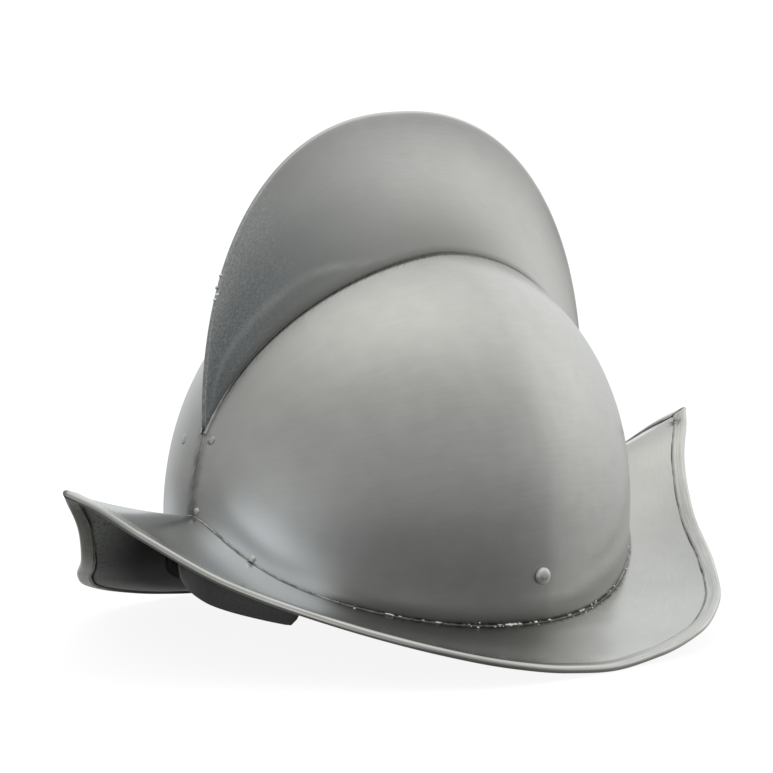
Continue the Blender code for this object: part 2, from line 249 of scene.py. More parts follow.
def plan_angle(across, along):
    width_part = (across / SKULL_HALF_WIDTH) ** (SKULL_PLAN_POWER / 2)
    length_part = signed_power(along / SKULL_HALF_LENGTH, SKULL_PLAN_POWER / 2)
    return math.atan2(length_part, width_part)


def skull_point(angle, height, side_inset=0.0, end_inset=0.0):
    spread = skull_spread(height)
    across = signed_power(math.cos(angle), 2 / SKULL_PLAN_POWER)
    along = signed_power(math.sin(angle), 2 / SKULL_PLAN_POWER)
    half_width = SKULL_HALF_WIDTH * spread - side_inset
    half_length = SKULL_HALF_LENGTH * spread - end_inset
    return Vector((half_width * across, SKULL_SET_BACK + half_length * along, height))


def skull_normal(angle, height):
    turn = 0.001
    rise = 0.0001
    along = skull_point(angle + turn, height) - skull_point(angle - turn, height)
    up = skull_point(angle, height + rise) - skull_point(angle, height - rise)
    return along.cross(up).normalized()


def skull_front(across, height):
    """Point and normal on the front half of the skull, this far to the right of its middle."""
    spread = skull_spread(height)
    width_part = abs(across / (SKULL_HALF_WIDTH * spread)) ** SKULL_PLAN_POWER
    along = -SKULL_HALF_LENGTH * spread * (1 - width_part) ** (1 / SKULL_PLAN_POWER)
    power = SKULL_PLAN_POWER - 1
    slope_x = signed_power(across / (SKULL_HALF_WIDTH * spread), power) / SKULL_HALF_WIDTH
    slope_y = signed_power(along / (SKULL_HALF_LENGTH * spread), power) / SKULL_HALF_LENGTH
    climb = (height - SKULL_WIDEST_HEIGHT) / (SKULL_TOP_HEIGHT - SKULL_WIDEST_HEIGHT)
    slope_z = climb / (spread * (SKULL_TOP_HEIGHT - SKULL_WIDEST_HEIGHT))
    normal = Vector((slope_x, slope_y, slope_z)).normalized()
    return Vector((across, SKULL_SET_BACK + along, height)), normal


def seam_height(angle):
    along = abs(math.sin(angle)) ** (2 / SKULL_PLAN_POWER)
    saddle = SEAM_SADDLE_RISE * along ** SEAM_SADDLE_POWER
    return SEAM_SIDE_HEIGHT + saddle + SEAM_PEAK_RISE * along ** SEAM_PEAK_POWER


def comb_foot():
    return SKULL_HALF_LENGTH * skull_spread(COMB_FOOT_HEIGHT)


def root_half_width(turn):
    return SHEET + COMB_ROOT_HALF_WIDTH * math.sin(turn) ** 2


def comb_root(turn, clearance=0.0):
    across = root_half_width(turn) + clearance
    along = -comb_foot() * math.cos(turn)
    return Vector((across, SKULL_SET_BACK + along, skull_height(across, along)))


def comb_crest(turn):
    along = signed_power(math.cos(turn), 2 / COMB_CREST_POWER)
    climb = math.sin(turn) ** (2 / COMB_CREST_POWER)
    height = blend(COMB_FOOT_HEIGHT, COMB_TOP_HEIGHT, climb)
    return Vector((SHEET, SKULL_SET_BACK - comb_foot() * along, height))


def brim_edge(turn):
    along = abs(turn) * (1 + BRIM_EDGE_LEAD * (1 - abs(turn)))
    across = BRIM_HALF_WIDTH * edge_share("half_width", along)
    rise = BRIM_FRONT_RISE if turn < 0 else BRIM_BACK_RISE
    height = rise * edge_share("height", along)
    return Vector((across, BRIM_HALF_LENGTH * math.copysign(along, turn), height))


def brim_seam(turn):
    angle = turn * math.pi / 2
    point = skull_point(angle, seam_height(angle), -GAP, -GAP)
    if abs(turn) == 1:
        point.x = 0.0
    return point


def brim_point(turn, out):
    point = brim_seam(turn).lerp(brim_edge(turn), out)
    point.z -= BRIM_DISH * 4 * out * (1 - out)
    return point


def brim_directions(turn, out):
    step = 0.002
    before = max(turn - step, -1.0)
    after = min(turn + step, 1.0)
    along = (brim_point(after, out) - brim_point(before, out)).normalized()
    across = brim_point(turn, out + step) - brim_point(turn, out - step)
    normal = across.cross(along).normalized()
    if normal.z < 0:
        normal.negate()
    outward = along.cross(normal)
    if outward.dot(across) < 0:
        outward.negate()
    return normal, outward


def brim_offset(turn, out, lift, beyond=0.0):
    base = brim_point(turn, out)
    normal, outward = brim_directions(turn, out)
    if abs(turn) < 1:
        return base + normal * lift + outward * beyond
    cross = outward.y * normal.z - outward.z * normal.y
    shift_y = (beyond * normal.z - lift * outward.z) / cross
    shift_z = (lift * outward.y - beyond * normal.y) / cross
    return base + Vector((0, shift_y, shift_z))


def mirrored(point):
    return Vector((-point.x, point.y, point.z))


# Where a highlight is painted brightest into the colour, from one end of the stroke to the other
SKULL_HIGHLIGHT = (Vector((0.020, -0.108, 0.052)), Vector((0.044, -0.092, 0.033)))
BRIM_HIGHLIGHT = (Vector((0.024, -0.108, 0.046)), Vector((0.056, -0.103, 0.029)))
# Pits that the welding left in the brim's edge, with the gap of the mitre at the back point
PIT_COLUMNS = ("across", "along", "height", "radius")
PITS = (
    (0.0044, 0.1683, 0.0731, 0.0024),
    (0.1134, 0.0774, 0.0143, 0.0010),
)

# Mesh building

def loft(sections, closed=False, marks=()):
    """Grid of quads through sections. Its UV map holds lengths in metres along and up, and
    each mark gives every corner a value of the mark's name, from its column and row."""
    mesh = bmesh.new()
    columns = len(sections) - 1
    count = len(sections[0])
    rows = count - (0 if closed else 1)
    bmesh.ops.create_grid(mesh, x_segments=columns, y_segments=rows, size=0.5)
    flow = mesh.loops.layers.uv.new("flow")
    layers = {mark: mesh.verts.layers.float.new(mark.__name__) for mark in marks}
    middle = sections[columns // 2]
    along = [0.0]
    for before, after in zip(sections, sections[1:]):
        along.append(along[-1] + (after[count // 2] - before[count // 2]).length)
    up = [0.0]
    for row in range(rows):
        up.append(up[-1] + (middle[(row + 1) % count] - middle[row]).length)
    for face in mesh.faces:
        for loop in face.loops:
            column = round((loop.vert.co.x + 0.5) * columns)
            row = round((loop.vert.co.y + 0.5) * rows)
            loop[flow].uv = (along[column], up[row])
    for vertex in mesh.verts:
        column = round((vertex.co.x + 0.5) * columns)
        row = round((vertex.co.y + 0.5) * rows)
        for mark, layer in layers.items():
            vertex[layer] = mark(column, row % count)
        vertex.co = sections[column][row % count]
    bmesh.ops.remove_doubles(mesh, verts=mesh.verts, dist=MERGE)
    return mesh


def close_ends(mesh):
    rims = [edge for edge in mesh.edges if edge.is_boundary]
    bmesh.ops.holes_fill(mesh, edges=rims, sides=0)


def point_outwards(mesh):
    bmesh.ops.recalc_face_normals(mesh, faces=mesh.faces)


def spun(profile, sides, merge=MERGE):
    """Shape spun round +Z from distances and heights."""
    mesh = bmesh.new()
    line = [mesh.verts.new((reach, 0, height)) for reach, height in profile]
    edges = [mesh.edges.new(pair) for pair in zip(line, line[1:])]
    bmesh.ops.spin(
        mesh, geom=line + edges, cent=(0, 0, 0), axis=(0, 0, 1), angle=math.tau, steps=sides,
        use_merge=True)
    bmesh.ops.remove_doubles(mesh, verts=mesh.verts, dist=merge)
    point_outwards(mesh)
    return mesh


def set_on(place, normal):
    """Transform that stands a shape on a surface, with its +Z along the normal."""
    return Matrix.Translation(place) @ normal.to_track_quat("Z", "Y").to_matrix().to_4x4()


def full_round(make, places):
    """Sections on the right from the back to the front, and mirrored back on the left."""
    right = [make(place) for place in places]
    left = [[mirrored(point) for point in section] for section in reversed(right)]
    return right + left[1:]


def face_away_from(mesh, inside):
    mesh.normal_update()
    total = sum((face.calc_center_median() - inside).dot(face.normal) for face in mesh.faces)
    if total < 0:
        bmesh.ops.reverse_faces(mesh, faces=mesh.faces)


def add_piece(name, mesh, material, node=None, sharp=40):
    """Finished piece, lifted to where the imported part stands."""
    bmesh.ops.translate(mesh, verts=mesh.verts, vec=(0, 0, LIFT))
    mesh.normal_update()
    data = bpy.data.meshes.new(name)
    mesh.to_mesh(data)
    mesh.free()
    data.materials.append(material)
    data.shade_smooth()
    data.set_sharp_from_angle(angle=math.radians(sharp))
    piece = bpy.data.objects.new(name, data)
    bpy.context.scene.collection.objects.link(piece)
    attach(piece, "root")
    if node:
        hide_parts(node)
    return piece


def add_wall(piece, thickness):
    wall = piece.modifiers.new("wall", "SOLIDIFY")
    wall.thickness = thickness
    wall.offset = -1
    wall.use_even_offset = True
    wall.material_offset = 1
    wall.material_offset_rim = 1


def within(point, reach):
    """1 inside a reach along the helmet, fading to 0 at its front and back ends."""
    front, setting_in, back, fading = reach
    return ease((point.y - front) / setting_in) * ease((back - point.y) / fading)


def highlight_along_stroke(point, stroke, spread):
    """How strong the painted highlight is here: most along the stroke, fading over the spread.
    """
    start, end = stroke
    here = Vector((abs(point.x), point.y, point.z))
    share = (here - start).dot(end - start) / (end - start).length_squared
    nearest = start.lerp(end, min(max(share, 0.0), 1.0))
    return 1 - ease(((here - nearest).length - 0.003) / spread)


def pitted(point):
    """1 in a pit on the right side, falling to 0 at its edge."""
    depth = 0.0
    for row in PITS:
        pit = dict(zip(PIT_COLUMNS, row))
        away = (point - Vector((pit["across"], pit["along"], pit["height"]))).length
        depth = max(depth, 1 - ease(away / pit["radius"] - 0.5))
    return depth


# Skull

def skull_section(share):
    """From the seam up to the comb's root on the right side; the share is 0 in front."""
    angle = blend(-math.pi / 2, math.pi / 2, share)
    turn = math.pi * share
    at_middle = share in (0.0, 1.0)
    top = comb_root(turn, GAP)
    if at_middle:
        top = Vector((0, SKULL_SET_BACK - comb_foot() * math.cos(turn), COMB_FOOT_HEIGHT))
    top_angle = plan_angle(top.x, top.y - SKULL_SET_BACK)
    dome = SKULL_TOP_HEIGHT - SKULL_WIDEST_HEIGHT
    lowest = (seam_height(angle) - SHEET - SKULL_WIDEST_HEIGHT) / dome
    highest = math.asin((top.z - SKULL_WIDEST_HEIGHT) / dome)
    section = []
    for row in range(SKULL_ROWS):
        climb = row / SKULL_ROWS
        arc = blend(lowest, highest, climb)
        height = SKULL_WIDEST_HEIGHT + dome * (math.sin(arc) if arc > 0 else arc)
        here = blend(angle, top_angle, climb)
        point = skull_point(here, height)
        steady = ease(row / 4) * ease((SKULL_ROWS - row) / 4)
        dent = 0.00016 * lumps(point, 0.045, 3.1) + 0.00005 * lumps(point, 0.014, 7.7)
        point += skull_normal(here, height) * dent * steady
        if at_middle:
            point.x = 0.0
        section.append(point)
    return [*section, top]


def build_skull(material, inside):
    sections = full_round(skull_section, evenly(1.0, 0.0, SKULL_COLUMNS))

    def from_seam(column, row):
        return (sections[column][row] - sections[column][0]).length

    def from_root(column, row):
        return (sections[column][row] - sections[column][-1]).length

    def from_centre(column, row):
        return abs(sections[column][row].x)

    def rough_weld(column, row):
        return within(sections[column][0], ROUGH_WELD)

    # Painted highlight on the lower front of the skull
    def painted_highlight(column, row):
        return highlight_along_stroke(sections[column][row], SKULL_HIGHLIGHT, 0.021)

    # Painted shade: a band beside the seam, wider towards the back
    def seam_shade_band(column, row):
        foot = sections[column][0]
        reach = blend(0.0095, 0.021, ease((foot.y + 0.015) / 0.08)) * within(foot, SKULL_SHADE)
        return 1 - ease((from_seam(column, row) / (reach + 0.0001) - 0.55) / 0.55)

    marks = [seam_shade_band, from_seam, from_root, from_centre, rough_weld, painted_highlight]
    mesh = loft(sections, marks=marks)
    face_away_from(mesh, Vector((0, SKULL_SET_BACK, SEAM_SIDE_HEIGHT)))
    skull = add_piece("skull_shell", mesh, material, "skull")
    skull.data.materials.append(inside)
    add_wall(skull, SHEET)
    return skull


# Comb

def comb_half(share):
    """Half a section of the comb, from its rounded crest, down and back up inside."""
    turn = blend(COMB_CREST_START, math.pi - COMB_CREST_START, share)
    root = comb_root(blend(COMB_ROOT_START, math.pi - COMB_ROOT_START, share))
    crest = comb_crest(turn)
    height = math.hypot(crest.y - root.y, crest.z - root.z)
    swell = CREST_FOOT_SWELL * (1 - ease(turn / math.radians(28)))
    flare = root.x - crest.x

    def across(climb):
        edge = SHEET + swell * ease(climb / 0.5)
        return edge + flare * (1 - climb) ** COMB_FLARE_POWER

    def wall(climb, thickness):
        point = root.lerp(crest, climb)
        slope = COMB_FLARE_POWER * flare * (1 - climb) ** (COMB_FLARE_POWER - 1) / height
        point.x = max(across(climb) - thickness * math.hypot(1, slope), 5 * MERGE)
        return point

    radius = min(SHEET + swell, 0.4 * height)
    outer = [Vector((0, crest.y, crest.z))]
    for step in range(1, CREST_STEPS + 1):
        arc = math.pi / 2 * step / CREST_STEPS
        climb = 1 - radius * (1 - math.cos(arc)) / height
        point = root.lerp(crest, climb)
        point.x = across(climb) * math.sin(arc)
        outer.append(point)
    top = 1 - radius / height
    for row in range(1, COMB_ROWS + 1):
        climb = top * (1 - row / COMB_ROWS)
        point = wall(climb, 0.0)
        steady = ease(climb / 0.1) * ease((top - climb) / 0.1)
        dent = 0.00018 * lumps(point, 0.038, 5.2) + 0.00005 * lumps(point, 0.012, 1.3)
        point.x += steady * dent
        outer.append(point)
    inner = [wall(climb, SHEET) for climb in evenly(0.0, COMB_HOLLOW_SHARE, COMB_HOLLOW_ROWS)]
    closed = root.lerp(crest, COMB_CLOSED_SHARE)
    closed.x = 0.0
    return [*outer, *inner, closed]


def build_comb(material):
    halves = [comb_half(share) for share in evenly(0.0, 1.0, COMB_COLUMNS)]
    sections = [half + [mirrored(point) for point in half[-2:0:-1]] for half in halves]
    outer_rows = CREST_STEPS + COMB_ROWS
    count = len(sections[0])

    def climb(column, row):
        row = min(row, count - row)
        return 1 - min(max(row - CREST_STEPS, 0) / COMB_ROWS, 1.0)

    def from_root(column, row):
        root = sections[column][outer_rows]
        point = sections[column][row]
        return math.hypot(abs(point.x) - root.x, point.y - root.y, point.z - root.z)

    def ground_front(column, row):
        front = 1 - ease((column / COMB_COLUMNS - 0.08) / 0.50)
        return front * (1 - 0.35 * ease((climb(column, row) - 0.35) / 0.6))

    def fillet_width(column):
        share = column / COMB_COLUMNS
        return 0.0098 * ease(share / 0.12) * (1 - 0.95 * ease((share - 0.28) / 0.18))

    # Painted shade in the fillet along the root
    def fillet_shade(column, row):
        reach = fillet_width(column) + 0.0001
        return 1 - ease((from_root(column, row) / reach - 0.75) / 0.4)

    # Painted highlight along the edge of the flare
    def ridge_highlight(column, row):
        reach = fillet_width(column)
        away = abs(from_root(column, row) - 1.2 * reach)
        return ease(reach / 0.008) * (1 - ease(away / 0.003))

    # Painted shade over the flare, darkest near the root
    def flare_shade(column, row):
        share = column / COMB_COLUMNS
        window = ease(share / 0.1) * ease((0.82 - share) / 0.30)
        return window * (1 - ease(from_root(column, row) / 0.045))

    def rough_front(column, row):
        return 1 - ease((column / COMB_COLUMNS - 0.04) / 0.36)

    marks = [from_root, ground_front, fillet_shade, ridge_highlight, flare_shade, rough_front, climb]
    mesh = loft(sections, closed=True, marks=marks)
    close_ends(mesh)
    point_outwards(mesh)
    return add_piece("comb_shell", mesh, material, "comb")


# Brim and its folded edge strip

def brim_section(turn):
    top = []
    bottom = []
    for out in evenly(0.0, 1.0, BRIM_ROWS):
        point = brim_point(turn, out)
        steady = ease(out / 0.2) * ease((1 - out) / 0.3) * ease((1 - abs(turn)) / 0.1)
        dent = steady * (0.00025 * lumps(point, 0.03, 9.4) + 0.00005 * lumps(point, 0.01, 2.2))
        top.append(brim_offset(turn, out, dent))
        bottom.append(brim_offset(turn, out, dent - SHEET))
    normal, _ = brim_directions(turn, 0.0)
    inner = top[0] - Vector((0, 0, SHEET / normal.z))
    return [*top, *reversed(bottom[1:]), inner]


def build_brim(material):
    sections = full_round(brim_section, evenly(1.0, -1.0, BRIM_COLUMNS))

    def from_seam(column, row):
        return (sections[column][row] - sections[column][0]).length

    def rough_weld(column, row):
        return within(sections[column][0], ROUGH_WELD)

    def underneath(column, row):
        return 0.0 if row <= BRIM_ROWS else 1.0

    def from_edge(column, row):
        return (sections[column][row] - sections[column][BRIM_ROWS]).length

    # Painted highlight on the front of the brim
    def painted_highlight(column, row):
        return highlight_along_stroke(sections[column][row], BRIM_HIGHLIGHT, 0.022)

    # Painted shade on the brim beside the seam
    def seam_shade(column, row):
        return within(sections[column][0], BRIM_SHADE)

    # Painted shade on the low parts of the underside
    def low_down(column, row):
        return 1 - ease((sections[column][row].z - 0.036) / 0.022)

    def pit(column, row):
        return pitted(sections[column][row]) if row <= BRIM_ROWS else 0.0

    def in_front(column, row):
        return ease((-0.108 - sections[column][row].y) / 0.022)

    marks = [
        from_seam, from_edge, underneath, rough_weld, painted_highlight, seam_shade, low_down, in_front,
        pit]
    mesh = loft(sections, closed=True, marks=marks)
    point_outwards(mesh)
    return add_piece("brim_plate", mesh, material, "brim")


def strip_profile(reach):
    """Closed outline of the folded strip, as distances in from the edge and above the plate."""
    fold_out = SHEET / 2 + GAP + STRIP
    fold_in = SHEET / 2 + GAP
    middle = fold_out - GAP - STRIP
    arcs = evenly(0.0, math.pi, FOLD_STEPS)
    outer = [(middle - fold_out * math.sin(a), fold_out * math.cos(a) - SHEET / 2) for a in arcs]
    inner = [(middle - fold_in * math.sin(a), fold_in * math.cos(a) - SHEET / 2) for a in arcs]
    top = GAP + STRIP
    under = -SHEET
    slope = reach - STRIP_BEVEL
    over = [
        (reach, STRIP_LIP), (slope, top), (slope - 0.0003, top), (0.5 * reach, top),
        (middle + 0.0004, top)]
    shut = [(reach, LIP_CLEARANCE), *over]
    below = [(inward, under - lift) for inward, lift in reversed(shut)]
    inside = [(0.5 * reach, under - GAP), *reversed(inner), (0.5 * reach, GAP)]
    return [*shut, *outer, *below, *inside]


def strip_section(turn):
    ruling = brim_edge(turn) - brim_seam(turn)
    _, outward = brim_directions(turn, 1.0)
    edge = brim_edge(turn)
    wave = 0.0003 * lumps(edge, 0.012, 4.4) + 0.0002 * lumps(edge, 0.004, 8.8)
    points = []
    for inward, lift in strip_profile(STRIP_REACH + wave):
        if inward < 0:
            point = brim_offset(turn, 1.0, lift, -inward)
        else:
            point = brim_offset(turn, 1 - inward / ruling.dot(outward), lift)
        point.x = max(point.x, GAP / 2)
        points.append(point)
    return points


def build_strip(name, side, node, material):
    turns = evenly(-1.0, 1.0, STRIP_COLUMNS)
    sections = [strip_section(turn) for turn in turns]
    if side < 0:
        sections = [[mirrored(point) for point in section] for section in sections]
    profile = strip_profile(STRIP_REACH)

    def underneath(column, row):
        return 1.0 if profile[row][1] < -SHEET / 2 else 0.0

    def at_fold(column, row):
        return ease((0.003 - profile[row][0]) / 0.003)

    def at_mitre(column, row):
        return 1.0 if column in (0, STRIP_COLUMNS) else 0.0

    def at_lip(column, row):
        inward, lift = profile[row]
        width = 0.0001 if lift > -SHEET / 2 else STRIP_BEVEL + 0.0001
        return 1.0 if inward > STRIP_REACH - width else 0.0

    # Painted highlight on the front of the strip
    def painted_highlight(column, row):
        return highlight_along_stroke(sections[column][row], BRIM_HIGHLIGHT, 0.022)

    def seam_shade(column, row):
        return within(brim_seam(turns[column]), BRIM_SHADE) * (1 - at_fold(column, row))

    def pit(column, row):
        return pitted(sections[column][row]) if profile[row][1] > 0 else 0.0

    marks = [underneath, at_fold, at_lip, painted_highlight, seam_shade, pit, at_mitre]
    mesh = loft(sections, closed=True, marks=marks)
    close_ends(mesh)
    point_outwards(mesh)
    return add_piece(name, mesh, material, node, sharp=50)


# Rivets

def rivet_frame(side):
    along = -RIVET_FORWARD / SKULL_HALF_LENGTH
    angle = math.asin(signed_power(along, SKULL_PLAN_POWER / 2))
    seat = skull_point(angle, RIVET_HEIGHT)
    normal = skull_normal(angle, RIVET_HEIGHT)
    seat.x *= side
    normal.x *= side
    return set_on(seat, normal)


def build_rivet(name, side, node, material):
    profile = []
    for turn in evenly(math.pi / 2, 0.0, RIVET_DOME_STEPS):
        rise = RIVET_HEAD_HEIGHT * math.sin(turn) + GAP
        profile.append((RIVET_HEAD_RADIUS * math.cos(turn), rise))
    depth = SHEET + LINING_SIDE_SPACE + LEATHER + GAP
    round_off = 0.0003
    profile += [
        (RIVET_HEAD_RADIUS, GAP / 2),
        (RIVET_SHANK_RADIUS, GAP / 2),
        (RIVET_SHANK_RADIUS, -depth),
        (RIVET_TAIL_RADIUS, -depth),
        (RIVET_TAIL_RADIUS, -depth - RIVET_TAIL_THICKNESS + round_off),
        (RIVET_TAIL_RADIUS - round_off, -depth - RIVET_TAIL_THICKNESS),
        (0.0, -depth - RIVET_TAIL_THICKNESS),
    ]
    mesh = spun(profile, RIVET_SIDES)
    for vertex in mesh.verts:
        if vertex.co.z > GAP:
            vertex.co += vertex.co.normalized() * 0.00016 * lumps(vertex.co, 0.0022, side * 6.0)
    mesh.transform(rivet_frame(side))
    return add_piece(name, mesh, material, node, sharp=50)


# Leather band

def lining_point(angle, height, inset):
    wall = SHEET + inset
    return skull_point(angle, height, wall + LINING_SIDE_SPACE, wall + LINING_END_SPACE)


def lining_bottom(angle):
    from_front = abs(math.remainder(angle + math.pi / 2, math.tau))
    on_right = math.cos(angle) > 0
    half_angle = TONGUE_RIGHT_ANGLE if on_right else TONGUE_LEFT_ANGLE
    edge = seam_height(angle) + LINING_EDGE_ABOVE_SEAM
    tongue = TONGUE_HEIGHT + TONGUE_TILT * lining_point(angle, TONGUE_HEIGHT, 0.0).x
    corner = TONGUE_RIGHT_CORNER if on_right else TONGUE_LEFT_CORNER
    return blend(tongue, edge, ease((from_front - half_angle) / corner + 0.5))


def lining_section(angle):
    """Up the outer side, over the round top edge, down the inner side and round the bottom."""
    radius = LEATHER / 2
    bottom = lining_bottom(angle) + radius
    top = seam_height(angle) + LINING_ABOVE_SEAM - radius
    arcs = evenly(0.0, math.pi, LINING_EDGE_STEPS)[1:-1]
    spots = [(0.0, height) for height in evenly(bottom, top, LINING_ROWS)]
    spots += [(radius * (1 - math.cos(arc)), top + radius * math.sin(arc)) for arc in arcs]
    spots += [(LEATHER, height) for height in evenly(top, bottom, LINING_ROWS)]
    spots += [(radius * (1 + math.cos(arc)), bottom - radius * math.sin(arc)) for arc in arcs]
    points = []
    for inset, height in spots:
        point = lining_point(angle, height, inset)
        ripple = LINING_RIPPLE * lumps(Vector((point.x, point.y, 0.3 * point.z)), 0.022, 2.9)
        points.append(lining_point(angle, height, inset + max(ripple, -LINING_RIPPLE_LIMIT)))
    return points


def build_lining(material):
    angles = evenly(math.pi / 2, math.pi / 2 + math.tau, LINING_COLUMNS)
    sections = [lining_section(angle) for angle in angles]
    sections[-1] = sections[0]

    # Painted highlight along the rounded edges of the band
    def edge_highlight(column, row):
        heights = [point.z for point in sections[column]]
        away = min(heights[row] - min(heights), max(heights) - heights[row])
        return math.exp(-away / 0.0012)

    # Painted light on the tongue's left end
    def lit_left_end(column, row):
        from_front = math.remainder(angles[column] + math.pi / 2, math.tau)
        return 1 - ease(abs(from_front + TONGUE_LEFT_ANGLE - 0.03) / 0.10)

    def in_shade(column, row):
        from_front = abs(math.remainder(angles[column] + math.pi / 2, math.tau))
        return ease((from_front - TONGUE_LEFT_ANGLE - 0.02) / 0.10)

    mesh = loft(sections, closed=True, marks=[edge_highlight, lit_left_end, in_shade])
    point_outwards(mesh)
    return add_piece("leather_band", mesh, material, "lining", sharp=60)


# Welds

def bead_sections(spots, flatness):
    """Rings round a path, each in the plane across it, flattened against the metal."""
    path = [centre for centre, _, _ in spots]
    last = len(path) - 1
    whole = (path[0] - path[last]).length < MERGE
    rings = []
    for place, (centre, up, size) in enumerate(spots):
        ahead = path[min(place + 1, last)] - path[max(place - 1, 0)]
        if whole and place in (0, last):
            ahead = path[1] - path[last - 1]
        ahead.normalize()
        rise = (up - ahead * up.dot(ahead)).normalized()
        side = ahead.cross(rise)
        ring = []
        for corner in range(BEAD_SIDES):
            arc = math.tau * corner / BEAD_SIDES
            across = side * size * flatness * math.cos(arc)
            ring.append(centre + across + rise * size * math.sin(arc))
        rings.append(ring)
    return rings


def build_bead(name, spots, material, flatness=BEAD_FLATNESS, marks=()):
    """Bead along spots, each with its centre, the way out of the metal and its radius."""
    sections = bead_sections(spots, flatness)
    whole = (spots[0][0] - spots[-1][0]).length < MERGE
    if whole:
        sections[-1] = sections[0]
    mesh = loft(sections, closed=True, marks=marks)
    if not whole:
        close_ends(mesh)
    point_outwards(mesh)
    return add_piece(name, mesh, material, sharp=180)


def build_seam_weld(material):
    spots = []
    for column in range(SEAM_BEAD_COLUMNS + 1):
        angle = math.pi / 2 + math.tau * (column % SEAM_BEAD_COLUMNS) / SEAM_BEAD_COLUMNS
        centre = skull_point(angle, seam_height(angle), -GAP / 2, -GAP / 2)
        outward = Vector((centre.x, centre.y - SKULL_SET_BACK, 0)).normalized()
        heavy = within(centre, ROUGH_WELD)
        beads = 0.35 * lumps(centre, 0.0022, 5.5) + 0.25 * lumps(centre, 0.006, 3.3)
        size = SEAM_BEAD * (0.75 + 0.35 * heavy + beads * (0.5 + heavy))
        spots.append((centre, outward + Vector((0, 0, 1)), size))
    rings = bead_sections(spots, BEAD_FLATNESS)

    # Painted shade on the lower half of the bead
    def below(column, row):
        centre, _, size = spots[column]
        return 1.0 if rings[column][row].z < centre.z - 0.3 * size else 0.0

    def smooth(column, row):
        return 1 - within(spots[column][0], ROUGH_WELD)

    return build_bead("seam_weld", spots, material, marks=[below, smooth])


def build_root_weld(name, side, material):
    spots = []
    for share in evenly(0.0, 1.0, ROOT_BEAD_COLUMNS):
        centre = comb_root(math.pi * blend(0.012, 0.988, share), GAP / 2)
        foot = 1 - ease(min(share, 1 - share) / 0.14)
        out = Vector((1, 0, 0)) + Vector((0, centre.y, centre.z)).normalized() * 0.6
        beads = 0.18 * lumps(centre, 0.0025, 6.1) + 0.14 * lumps(centre, 0.009, 2.7)
        centre.x *= side
        out.x *= side
        spots.append((centre, out, ROOT_BEAD * (1 + 0.8 * foot + beads)))

    def at_foot(column, row):
        share = column / ROOT_BEAD_COLUMNS
        return 1 - ease((min(share, 1 - share) - 0.06) / 0.10)

    return build_bead(name, spots, material, ROOT_FLATNESS, [at_foot])


def build_centre_weld(name, end, material):
    """Low bead down the middle of the skull from the comb's foot; the end is -1 in front."""
    spots = []
    angle = end * math.pi / 2
    for height in evenly(COMB_FOOT_HEIGHT + 0.001, seam_height(angle), CENTRE_BEAD_COLUMNS):
        centre = skull_point(angle, height)
        centre.x = 0.0004 * lumps(centre, 0.012, 8.1)
        beads = 0.25 * lumps(centre, 0.002, 4.9) + 0.2 * lumps(centre, 0.007, 0.7)
        centre.y -= end * CENTRE_BEAD_DEPTH
        spots.append((centre, Vector((0, end, 0)), CENTRE_BEAD * (1 + beads)))
    return build_bead(name, spots, material)


# Dull bumps and bright drops of weld metal on the skull: how far right of its middle, how
# high, their radius and how far they rise
DROP_COLUMNS = ("across", "height", "radius", "rise")
BUMPS = (
    (0.0052, 0.0916, 0.0021, 0.0009),
    (-0.0158, 0.0899, 0.0024, 0.0004),
)
DROPS = (
    (0.0033, 0.0622, 0.0015, 0.0009),
    (0.0283, 0.0442, 0.0015, 0.0014),
)
# Bright runs: how many places along the seam, between which angles, the share of places left
# bare, and how long they are
RUN_COUNT = 54
RUN_ARC = (-1.25, 0.75)
RUN_BARE = 0.35
RUN_LENGTHS = (0.0006, 0.0026)
RUN_FLATNESS = 0.7
# Spatter: how many grains, between which angles two in three of them lie, how far from the
# seam, how large at least and how much larger at most, and the share that lies on the skull
SPATTER_COUNT = 70
SPATTER_ARC = (-0.45, 0.62)
SPATTER_SPREAD = 0.0014
SPATTER_SIZE = 0.00016
SPATTER_GROWTH = 0.00038
SPATTER_ON_SKULL = 0.6
# Burrs on the comb's front edge, as turns from its foot in degrees
BURR_TURNS = (22.4, 23.4, 24.8, 27.3)
BURR_RADIUS = 0.0009
BURR_RISE = 0.0007
BURR_SWAY = 0.0007


def add_drop(mesh, place, normal, radius, rise, seed, detail=2):
    made = bmesh.ops.create_icosphere(mesh, subdivisions=detail, radius=1.0)
    for vertex in made["verts"]:
        x, y, z = vertex.co
        swell = 1 + 0.16 * lumps(vertex.co, 0.7, seed)
        vertex.co = Vector((x * radius, y * radius, z * rise)) * swell
    bmesh.ops.transform(mesh, matrix=set_on(place, normal), verts=made["verts"])


def build_drops(name, rows, material):
    mesh = bmesh.new()
    for seed, row in enumerate(rows):
        drop = dict(zip(DROP_COLUMNS, row))
        place, normal = skull_front(drop["across"], drop["height"])
        add_drop(mesh, place, normal, drop["radius"], drop["rise"], seed + 0.5, detail=3)
    return add_piece(name, mesh, material, sharp=180)


def seam_direction(angle):
    step = 0.01
    ahead = skull_point(angle + step, seam_height(angle + step))
    return (ahead - skull_point(angle - step, seam_height(angle - step))).normalized()


